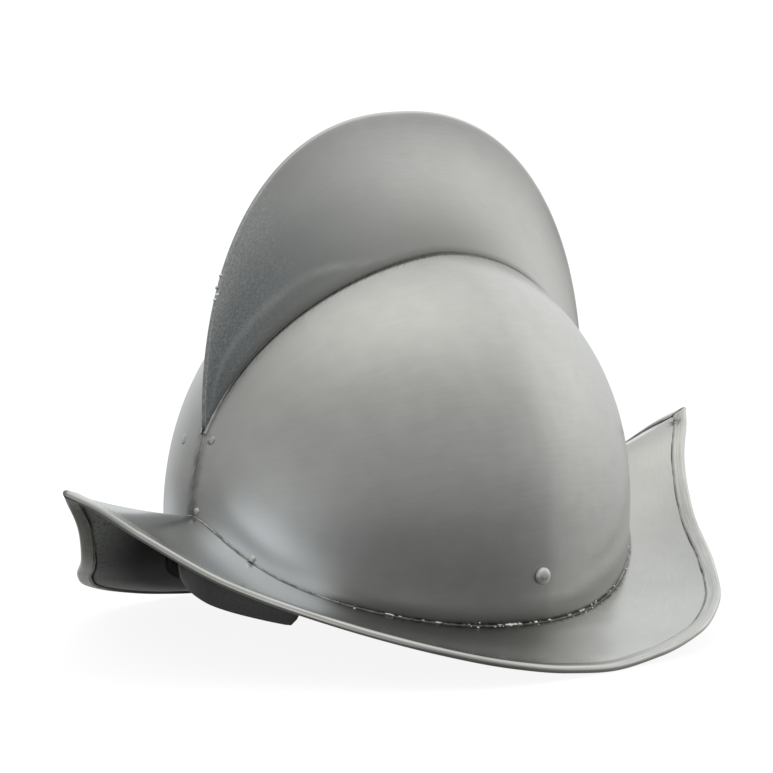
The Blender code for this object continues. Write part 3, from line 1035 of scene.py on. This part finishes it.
def build_runs(material):
    """Short bright runs of weld metal that lie along the seam, alike on both sides."""
    chance = random.Random(23)
    mesh = bmesh.new()
    for seed in range(RUN_COUNT):
        angle = blend(*RUN_ARC, (seed + chance.random()) / RUN_COUNT)
        heavy = within(skull_point(angle, 0.0), ROUGH_WELD)
        length = blend(*RUN_LENGTHS, chance.random() ** 2) * (0.5 + heavy)
        width = 0.0004 + 0.0004 * heavy
        if chance.random() < RUN_BARE:
            continue
        centre = skull_point(angle, seam_height(angle) + chance.uniform(-0.2, 0.5) * width)
        up = skull_normal(angle, seam_height(angle)) + Vector((0, 0, 0.6))
        along = seam_direction(angle)
        rise = (up - along * up.dot(along)).normalized()
        turn = Matrix((along, rise.cross(along), rise)).transposed().to_4x4()
        for side in (1, -1):
            made = bmesh.ops.create_icosphere(mesh, subdivisions=2, radius=1.0)["verts"]
            bmesh.ops.scale(mesh, verts=made, vec=(length, width, RUN_FLATNESS * width))
            for vertex in made:
                vertex.co *= 1 + 0.25 * lumps(vertex.co, 0.0006, seed)
            bmesh.ops.transform(mesh, matrix=Matrix.Translation(centre) @ turn, verts=made)
            bmesh.ops.scale(mesh, verts=made, vec=(side, 1, 1))
    point_outwards(mesh)
    return add_piece("weld_runs", mesh, material, sharp=180)


def build_spatter(material):
    """Small grains of weld metal along the seam, thickest in the middle of the right side."""
    chance = random.Random(41)
    mesh = bmesh.new()
    for seed in range(SPATTER_COUNT):
        arc = SPATTER_ARC if seed % 3 else (-math.pi, math.pi)
        angle = chance.uniform(*arc)
        size = SPATTER_SIZE + SPATTER_GROWTH * chance.random() ** 2
        away = SPATTER_SPREAD * chance.random() ** 3
        if chance.random() < SPATTER_ON_SKULL:
            height = seam_height(angle) + away
            place = skull_point(angle, height)
            normal = skull_normal(angle, height)
        else:
            side = 1 if math.cos(angle) >= 0 else -1
            turn = 2 * math.asin(math.sin(angle)) / math.pi
            turn = min(max(turn, -0.99), 0.99)
            out = away / (brim_edge(turn) - brim_seam(turn)).length
            place = brim_point(turn, out)
            normal, _ = brim_directions(turn, out)
            place.x *= side
            normal.x *= side
        add_drop(mesh, place, normal, size * chance.uniform(0.9, 1.8), size, seed, detail=1)
    return add_piece("weld_spatter", mesh, material, sharp=180)


def build_burrs(material):
    mesh = bmesh.new()
    for seed, turn in enumerate(BURR_TURNS):
        place = comb_crest(math.radians(turn))
        place.x = BURR_SWAY * math.sin(seed * 2.0)
        normal = Vector((0, place.y, place.z - SKULL_WIDEST_HEIGHT)).normalized()
        add_drop(mesh, place, normal, BURR_RADIUS, BURR_RISE, seed + 20.0)
    return add_piece("crest_burrs", mesh, material, sharp=180)


# Finishes

def add_node(tree, kind, values=None, **settings):
    """New node. Each input named in values gets a number or colour, or a link from a socket."""
    made = tree.nodes.new(kind)
    for name, value in settings.items():
        setattr(made, name, value)
    for name, value in (values or {}).items():
        if isinstance(value, bpy.types.NodeSocket):
            tree.links.new(value, made.inputs[name])
        else:
            made.inputs[name].default_value = value
    return made


class Finish:
    """A material whose colour and surface are worked out by nodes."""

    def __init__(self, name, color, roughness, metallic=1.0):
        self.material = bpy.data.materials.new(name)
        self.material.use_nodes = True
        self.tree = self.material.node_tree
        self.shader = self.tree.nodes["Principled BSDF"]
        self.shader.inputs["Metallic"].default_value = metallic
        self.shader.inputs["Roughness"].default_value = roughness
        self.color = self.new("ShaderNodeRGB").outputs[0]
        self.color.default_value = (*color, 1.0)
        self.rough = None
        self.height = None

    def new(self, kind, values=None, **settings):
        return add_node(self.tree, kind, values, **settings)

    def read(self, value):
        """The mark of this name, or the value itself where no name is given."""
        if isinstance(value, str):
            return self.new("ShaderNodeAttribute", attribute_name=value).outputs["Fac"]
        return value

    def math(self, operation, first, second):
        values = {0: self.read(first), 1: self.read(second)}
        return self.new("ShaderNodeMath", values, operation=operation).outputs[0]

    def both(self, first, second):
        return self.math("MULTIPLY", first, second)

    def place(self, scale, turn=0.0, flow=False):
        """Coordinates in metres, on the surface's own map or in space, times a scale."""
        if flow:
            source = self.new("ShaderNodeUVMap", uv_map="flow").outputs[0]
        else:
            source = self.new("ShaderNodeTexCoord").outputs["Object"]
        turned = self.new("ShaderNodeMapping", {"Rotation": (0, 0, turn), "Vector": source})
        if not isinstance(scale, tuple):
            scale = (scale, scale, scale)
        values = {0: turned.outputs[0], 1: scale}
        return self.new("ShaderNodeVectorMath", values, operation="MULTIPLY").outputs[0]

    def noise(self, scale, detail=2, rough=0.5, turn=0.0, flow=False):
        """Noise with this many lumps to the metre, or so many along each axis."""
        place = self.place(scale, turn, flow)
        values = {"Scale": 1.0, "Detail": detail, "Roughness": rough, "Vector": place}
        return self.new("ShaderNodeTexNoise", values).outputs[0]

    def span(self, value, low, high, start=0.0, end=1.0, kind="LINEAR"):
        """Value from low to high turned into start to end, and held outside it."""
        values = {
            "Value": self.read(value), "From Min": low, "From Max": high, "To Min": start,
            "To Max": end}
        return self.new("ShaderNodeMapRange", values, interpolation_type=kind).outputs[0]

    def near(self, name, reach, full=0.0):
        """1 within the full distance of a mark, falling smoothly to 0 at its reach."""
        return self.span(name, full, reach, 1.0, 0.0, "SMOOTHSTEP")

    def ragged(self, mask, size, low=0.4):
        """The mask broken up by noise of this size."""
        return self.both(mask, self.span(self.noise(1 / size, 3), 0.38, 0.62, low, 1.0))

    def tint(self, color, mask, share=1.0):
        """Mix this share of a colour in where the mask is 1."""
        mask = self.read(mask) if share == 1.0 else self.both(mask, share)
        values = {"Factor": mask, "A": self.color, "B": (*color, 1.0)}
        self.color = self.new("ShaderNodeMix", values, data_type="RGBA").outputs["Result"]

    def shade(self, value, low, high, dark, light):
        """Multiply the colour by dark to light as the value goes from low to high."""
        values = {0: self.color, "Scale": self.span(value, low, high, dark, light)}
        self.color = self.new("ShaderNodeVectorMath", values, operation="SCALE").outputs[0]

    def gloss(self, value, low, high, start, end):
        """Roughness from start to end, added to what other marks give."""
        made = self.span(value, low, high, start, end)
        self.rough = made if self.rough is None else self.math("ADD", self.rough, made)

    def relief(self, value, depth):
        """Add a height in metres."""
        made = self.both(value, depth)
        self.height = made if self.height is None else self.math("ADD", self.height, made)

    def clouds(self, scale, dark, light, bright, dull, detail=3, rough=0.6):
        """Soft patches, some of them lighter and duller than others."""
        made = self.noise(scale, detail, rough)
        self.shade(made, 0.3, 0.7, dark, light)
        self.gloss(made, 0.3, 0.7, bright, dull)
        return made

    def finish(self):
        values = {"Strength": 1.0, "Distance": 1.0, "Height": self.height}
        bump = self.new("ShaderNodeBump", values)
        ends = {"Base Color": self.color, "Roughness": self.rough, "Normal": bump.outputs[0]}
        for name, source in ends.items():
            self.tree.links.new(source, self.shader.inputs[name])
        return self.material


def brushed(look, along, across, depth, dark=0.94, light=1.05):
    """Fine lines of a grinding belt along the surface's own map."""
    fine = look.noise((along, across, 1), 3, 0.65, flow=True)
    broad = look.noise((along * 0.4, across * 0.22, 1), flow=True)
    look.relief(fine, depth)
    look.relief(broad, depth * 0.5)
    look.shade(fine, 0.3, 0.7, dark, light)
    look.shade(broad, 0.3, 0.7, 0.985, 1.012)


def dig_pits(look):
    pit = look.ragged("pit", 0.0014, 0.3)
    look.tint((0.02, 0.02, 0.018), pit)
    look.relief(pit, -0.0004)


def skull_finish():
    look = Finish("skull_brushed_steel", (0.575, 0.575, 0.565), 0.29)
    look.clouds(16, 0.94, 1.04, 0.25, 0.31, rough=0.55)
    look.shade(look.noise(130), 0.35, 0.7, 0.98, 1.015)
    brushed(look, 60, 3400, 0.0000016, 0.975, 1.02)
    # Painted highlight, light and cool, on the lower front of the skull
    look.tint((0.88, 0.90, 0.92), "painted_highlight")
    # Painted shade, scale and soot beside the seam
    look.tint((0.27, 0.27, 0.255), "seam_shade_band", 0.85)
    scale = look.near("from_seam", 0.0016, 0.0002)
    look.tint((0.22, 0.22, 0.215), look.ragged(scale, 0.0025, 0.2))
    soot = look.ragged(look.near("from_seam", 0.0042, 0.0008), 0.003, 0.0)
    look.tint((0.07, 0.07, 0.068), look.both(soot, "rough_weld"), 0.9)
    # File strokes under the comb's root
    filed = look.noise((260, 1500, 1), 3, 0.6, 0.25, flow=True)
    strokes = look.both(look.near("from_root", 0.007), look.span(filed, 0.48, 0.60))
    look.tint((0.30, 0.30, 0.29), strokes, 0.7)
    look.relief(strokes, -0.00003)
    # Weld down the middle, and the stain where it meets the seam
    centre = look.ragged(look.near("from_centre", 0.0050, 0.0006), 0.006, 0.25)
    look.tint((0.22, 0.225, 0.23), centre, 0.75)
    burnt = look.both(look.near("from_centre", 0.004), look.near("from_seam", 0.030, 0.012))
    look.tint((0.24, 0.235, 0.23), look.ragged(burnt, 0.012, 0.0))
    return look.finish()


def comb_finish():
    look = Finish("comb_ground_steel", (0.725, 0.725, 0.715), 0.34)
    look.clouds(22, 0.92, 1.05, 0.32, 0.40)
    brushed(look, 90, 2600, 0.0000035)
    # Painted highlight: the comb lighter towards its top
    look.shade("climb", 0.45, 0.95, 1.0, 1.13)
    # Painted shade over the flare, darkest near the root
    look.tint((0.30, 0.30, 0.29), "flare_shade", 0.92)
    look.tint((0.25, 0.27, 0.285), look.span("ground_front", 0.0, 0.9, 0.0, 0.9))
    # Crossed grinding marks and pits at the front
    one_way = look.noise((300, 1300, 1), 3, 0.7, 0.75, flow=True)
    other_way = look.noise((320, 1200, 1), 3, 0.7, -0.65, flow=True)
    crossed = look.math("ADD", look.span(one_way, 0.42, 0.62), look.span(other_way, 0.42, 0.62))
    pits = look.noise(1000, rough=0.7)
    crossed = look.math("ADD", crossed, look.span(pits, 0.40, 0.65))
    crossed = look.both(crossed, "rough_front")
    look.relief(crossed, 0.000022)
    look.shade(crossed, 0.3, 2.3, 0.86, 1.60)
    # Painted highlight along the edge of the flare, and painted shade in the fillet and the
    # crease at the root
    look.tint((0.50, 0.50, 0.49), look.ragged(look.both("ridge_highlight", 0.42), 0.012, 0.5))
    look.tint((0.22, 0.22, 0.21), look.ragged(look.both("fillet_shade", 0.45), 0.02, 0.65))
    look.tint((0.16, 0.16, 0.155), look.near("from_root", 0.0045), 0.7)
    return look.finish()


def brim_finish():
    look = Finish("brim_brushed_steel", (0.58, 0.58, 0.57), 0.28)
    look.clouds(20, 0.93, 1.04, 0.19, 0.25)
    brushed(look, 110, 2600, 0.0000022, 0.955, 1.035)
    # Painted shade: the front of the brim darker and cooler
    look.tint((0.45, 0.465, 0.475), "in_front", 0.9)
    # Painted shade on the brim beside the seam, from the front to the sides
    shade_by_seam = look.both(look.near("from_seam", 0.040, 0.012), "seam_shade")
    look.tint((0.20, 0.20, 0.195), shade_by_seam, 0.85)
    # Painted highlight on the front of the brim
    look.tint((0.90, 0.92, 0.94), "painted_highlight")
    # Scale and soot beside the seam
    scale = look.near("from_seam", 0.0018, 0.0005)
    look.tint((0.16, 0.16, 0.155), look.ragged(scale, 0.0025, 0.5))
    soot = look.ragged(look.near("from_seam", 0.003, 0.0006), 0.003, 0.0)
    look.tint((0.06, 0.06, 0.058), look.both(soot, "rough_weld"), 0.9)
    # Underside, stained and dull, with painted shade on its low parts and darkest in the corner
    # under the skull
    under = look.span("underneath", 0.4, 0.6)
    look.tint((0.78, 0.80, 0.76), under, 0.85)
    look.gloss(under, 0.0, 1.0, 0.0, 0.40)
    stains = look.noise(420, 4, 0.7)
    look.tint((0.40, 0.41, 0.38), look.both(under, look.span(stains, 0.50, 0.68, 0.0, 0.8)))
    look.tint((0.08, 0.08, 0.075), look.both(under, look.span(stains, 0.48, 0.34, 0.0, 0.5)))
    look.tint((0.10, 0.105, 0.10), look.both(under, "low_down"), 0.1)
    corner = look.both(under, look.near("from_seam", 0.042, 0.010))
    look.tint((0.015, 0.015, 0.014), corner, 0.92)
    # Painted shade in the groove beside the strip, wider underneath
    groove = look.near("from_edge", STRIP_REACH + 0.0012, STRIP_REACH + 0.0004)
    look.tint((0.05, 0.05, 0.046), look.ragged(groove, 0.012, 0.4))
    open_groove = look.near("from_edge", STRIP_REACH + 0.0018, STRIP_REACH + 0.0010)
    look.tint((0.01, 0.01, 0.01), look.both(under, open_groove))
    dig_pits(look)
    return look.finish()


def strip_finish():
    look = Finish("strip_steel", (0.60, 0.60, 0.585), 0.30)
    look.clouds(60, 0.93, 1.05, 0.26, 0.33)
    brushed(look, 110, 2600, 0.0000035)
    # Painted highlight on the front of the strip
    look.tint((0.96, 0.98, 1.0), "painted_highlight")
    # Painted shade beside the seam
    look.tint((0.20, 0.20, 0.195), "seam_shade", 0.85)
    # Painted highlight along the fold
    look.shade("at_fold", 0.2, 1.0, 1.0, 1.12)
    # Underside, pale and stained
    under = look.span("underneath", 0.4, 0.6)
    look.tint((0.68, 0.66, 0.60), under, 0.9)
    stains = look.span(look.noise(300, 4, 0.7), 0.46, 0.66, 0.0, 0.8)
    look.tint((0.95, 0.91, 0.80), look.both(under, stains))
    # Painted highlight on the lower half of the fold
    look.tint((1.0, 0.98, 0.93), look.both("at_fold", "underneath"), 0.8)
    look.shade(look.noise((25, 1900, 1), 2, 0.6, flow=True), 0.35, 0.65, 0.80, 1.10)
    # Painted shade under the inner lip, and the dark mitre
    look.tint((0.02, 0.02, 0.019), look.both("at_lip", under))
    look.tint((0.10, 0.10, 0.095), look.ragged("at_lip", 0.010, 0.3))
    look.tint((0.06, 0.06, 0.055), look.ragged(look.span("at_mitre", 0.3, 0.9), 0.003, 0.3))
    dig_pits(look)
    return look.finish()


def rivet_finish():
    look = Finish("rivet_steel", (0.70, 0.705, 0.70), 0.36)
    look.relief(look.clouds(900, 0.88, 1.05, 0.30, 0.42), 0.00004)
    return look.finish()


def rough_weld_look(name, color, dark):
    look = Finish(name, color, 0.40)
    scale = look.noise(650, 4, 0.65)
    look.shade(scale, 0.35, 0.65, dark, 1.1)
    look.gloss(scale, 0.3, 0.7, 0.28, 0.50)
    look.relief(scale, 0.00008)
    return look


def weld_finish(name, color, dark):
    look = rough_weld_look(name, color, dark)
    look.shade(look.noise(140), 0.4, 0.6, 0.75, 1.1)
    return look.finish()


def seam_weld_finish():
    look = rough_weld_look("dark_weld", (0.20, 0.20, 0.19), 0.35)
    look.tint((0.58, 0.59, 0.59), look.ragged("smooth", 0.005, 0.15))
    # Painted shade on the lower half of the bead
    look.tint((0.008, 0.008, 0.008), "below")
    return look.finish()


def root_weld_finish():
    look = Finish("root_weld_steel", (0.17, 0.17, 0.165), 0.45)
    look.tint((0.70, 0.71, 0.71), look.ragged("at_foot", 0.006, 0.5))
    look.relief(look.clouds(500, 0.75, 1.1, 0.34, 0.5), 0.00004)
    return look.finish()


def inside_finish():
    look = Finish("inner_steel", (0.26, 0.26, 0.25), 0.5)
    patches = look.clouds(35, 0.6, 1.15, 0.42, 0.6, detail=4)
    scale = look.noise(300, 3, 0.7)
    look.shade(scale, 0.3, 0.7, 0.8, 1.1)
    look.tint((0.17, 0.135, 0.10), look.span(patches, 0.55, 0.75, 0.0, 0.5))
    # Painted shade on the inner wall near the seam
    beside_seam = look.near("from_seam", 0.032, 0.012)
    look.tint((0.012, 0.012, 0.012), beside_seam, 0.95)
    look.gloss(beside_seam, 0.0, 1.0, 0.0, 0.35)
    look.relief(scale, 0.00003)
    return look.finish()


def leather_finish():
    look = Finish("dark_leather", (0.086, 0.088, 0.085), 0.5, 0.0)
    look.clouds(28, 0.75, 1.35, 0.38, 0.52, rough=0.5)
    values = {"Scale": 1.0, "Vector": look.place(1100)}
    grain = look.new("ShaderNodeTexVoronoi", values, feature="SMOOTH_F1").outputs["Distance"]
    look.shade(grain, 0.0, 0.8, 0.8, 1.15)
    # Painted highlight on the rounded edges of the band
    look.tint((0.16, 0.15, 0.14), look.span("edge_highlight", 0.35, 1.0, 0.0, 0.6))
    # Painted light on the tongue's left end
    look.tint((0.46, 0.45, 0.42), "lit_left_end", 0.8)
    look.tint((0.015, 0.015, 0.015), "in_shade", 0.85)
    look.relief(grain, 0.00008)
    look.relief(look.noise(2400), 0.00002)
    look.relief(look.noise((90, 420, 90), 3, 0.6), 0.00012)
    look.shader.inputs["Specular IOR Level"].default_value = 0.55
    return look.finish()


# Studio

def direction(azimuth, elevation):
    """The way from the helmet to a place at these angles in degrees."""
    a, e = math.radians(azimuth), math.radians(elevation)
    return Vector((math.sin(a) * math.cos(e), -math.cos(a) * math.cos(e), math.sin(e)))


def place_camera():
    back = direction(CAMERA_AZIMUTH, CAMERA_ELEVATION)
    right = (-back).cross(Vector((0, 0, 1))).normalized()
    up = back.cross(right)
    roll = math.radians(CAMERA_ROLL)
    turned_right = right * math.cos(roll) + up * math.sin(roll)
    turned_up = up * math.cos(roll) - right * math.sin(roll)
    data = bpy.data.cameras.new("photo_camera")
    data.lens = CAMERA_LENS
    data.sensor_width = 36.0
    data.clip_start = 0.05
    data.clip_end = 200.0
    camera = bpy.data.objects.new("photo_camera", data)
    bpy.context.scene.collection.objects.link(camera)
    turn = Matrix((turned_right, turned_up, back)).transposed().to_4x4()
    camera.matrix_world = Matrix.Translation(CAMERA_TARGET + back * CAMERA_DISTANCE) @ turn
    bpy.context.scene.camera = camera


# Soft lights of the room: where they are, how narrow, how strong, and their tone
LIGHT_COLUMNS = ("azimuth", "elevation", "focus", "strength", "tone")
LIGHTS = (
    (174, 17, 4.0, 0.61, (1.00, 1.00, 0.965)),
    (130, 74, 6.3, 0.38, (1.00, 1.00, 0.955)),
    (21, 84, 3.3, 0.60, (1.00, 1.00, 0.955)),
    (16, -12, 15.0, 0.52, (0.94, 0.99, 1.03)),
    (-124, 13, 5.9, 0.62, (0.96, 1.00, 1.02)),
)
# Plain light of the room behind them, by the sine of its height
ROOM_STOPS = (
    (-1.0, 0.05), (-0.5, 0.07), (-0.26, 0.14), (0.0, 0.28),
    (0.26, 0.37), (0.5, 0.32), (0.71, 0.24), (1.0, 0.10))


def light_room():
    """Soft grey room, brightest a little above level, with soft lights behind the helmet,
    overhead, low in front and behind on the left."""
    world = bpy.data.worlds.new("studio")
    bpy.context.scene.world = world
    world.use_nodes = True
    tree = world.node_tree

    def result(kind, operation, values):
        return add_node(tree, kind, values, operation=operation).outputs

    sky = add_node(tree, "ShaderNodeTexCoord").outputs["Generated"]
    rise = add_node(tree, "ShaderNodeSeparateXYZ", {0: sky}).outputs["Z"]
    half = result("ShaderNodeMath", "MULTIPLY_ADD", {0: rise, 1: 0.5, 2: 0.5})[0]
    ramp = add_node(tree, "ShaderNodeValToRGB", {0: half})
    colors = ramp.color_ramp.elements
    for height, _ in ROOM_STOPS[1:-1]:
        colors.new(height / 2 + 0.5)
    for element, (_, level) in zip(colors, ROOM_STOPS):
        element.color = (level * 0.985, level, level * 0.985, 1.0)
    total = ramp.outputs[0]
    for row in LIGHTS:
        light = dict(zip(LIGHT_COLUMNS, row))
        focus = light["focus"]
        centre = direction(light["azimuth"], light["elevation"])
        facing = result("ShaderNodeVectorMath", "DOT_PRODUCT", {0: sky, 1: centre})["Value"]
        fall = result("ShaderNodeMath", "MULTIPLY_ADD", {0: facing, 1: focus, 2: -focus})[0]
        glow = result("ShaderNodeMath", "EXPONENT", {0: fall})[0]
        tone = [part * light["strength"] for part in light["tone"]]
        lit = result("ShaderNodeVectorMath", "SCALE", {0: tone, "Scale": glow})[0]
        total = result("ShaderNodeVectorMath", "ADD", {0: total, 1: lit})[0]
    background = tree.nodes["Background"]
    tree.links.new(total, background.inputs["Color"])
    background.inputs["Strength"].default_value = 1.0


def build_backdrop():
    """Pale floor that curves up into a wall far behind the helmet."""
    profile = [(0.0, 0.0), (2.0, 0.0), (BACKDROP_RADIUS - BACKDROP_COVE, 0.0)]
    for arc in evenly(0.0, math.pi / 2, BACKDROP_STEPS)[1:]:
        reach = BACKDROP_RADIUS - BACKDROP_COVE * (1 - math.sin(arc))
        profile.append((reach, BACKDROP_COVE * (1 - math.cos(arc))))
    profile.append((BACKDROP_RADIUS, BACKDROP_HEIGHT))
    mesh = spun(profile, BACKDROP_SIDES, 0.001)
    face_away_from(mesh, Vector((0, 0, 1)))
    bmesh.ops.reverse_faces(mesh, faces=mesh.faces)
    data = bpy.data.meshes.new("pale_floor")
    mesh.to_mesh(data)
    mesh.free()
    data.shade_smooth()
    material = bpy.data.materials.new("pale_paper")
    material.use_nodes = True
    values = {
        "Base Color": (0.22, 0.22, 0.22, 1.0), "Roughness": 0.9, "Specular IOR Level": 0.0,
        "Emission Color": (1.0, 1.0, 1.0, 1.0), "Emission Strength": 0.90}
    for name, value in values.items():
        material.node_tree.nodes["Principled BSDF"].inputs[name].default_value = value
    data.materials.append(material)
    floor = bpy.data.objects.new("pale_floor", data)
    bpy.context.scene.collection.objects.link(floor)
    floor.visible_glossy = False
    floor.visible_diffuse = False
    floor.visible_shadow = False


place_camera()
light_room()
build_backdrop()
bpy.context.scene.view_settings.view_transform = "Standard"

strip_steel = strip_finish()
rivet_steel = rivet_finish()
root_weld = root_weld_finish()
ground_weld = weld_finish("ground_weld", (0.32, 0.325, 0.33), 0.70)
bright_weld = weld_finish("bright_weld", (0.96, 0.96, 0.95), 0.8)

build_skull(skull_finish(), inside_finish())
build_comb(comb_finish())
build_brim(brim_finish())
build_lining(leather_finish())
for name, side in (("right", 1), ("left", -1)):
    build_strip("edge_strip_" + name, side, "edge_binding_" + name, strip_steel)
    build_rivet("rivet_" + name, side, "side_rivet_" + name, rivet_steel)
    build_root_weld("root_weld_" + name, side, root_weld)
build_seam_weld(seam_weld_finish())
build_centre_weld("front_weld", -1, ground_weld)
build_centre_weld("back_weld", 1, ground_weld)
build_drops("weld_bumps", BUMPS, weld_finish("dull_weld", (0.62, 0.62, 0.61), 0.85))
build_drops("weld_drops", DROPS, bright_weld)
build_runs(bright_weld)
build_spatter(bright_weld)
build_burrs(bright_weld)
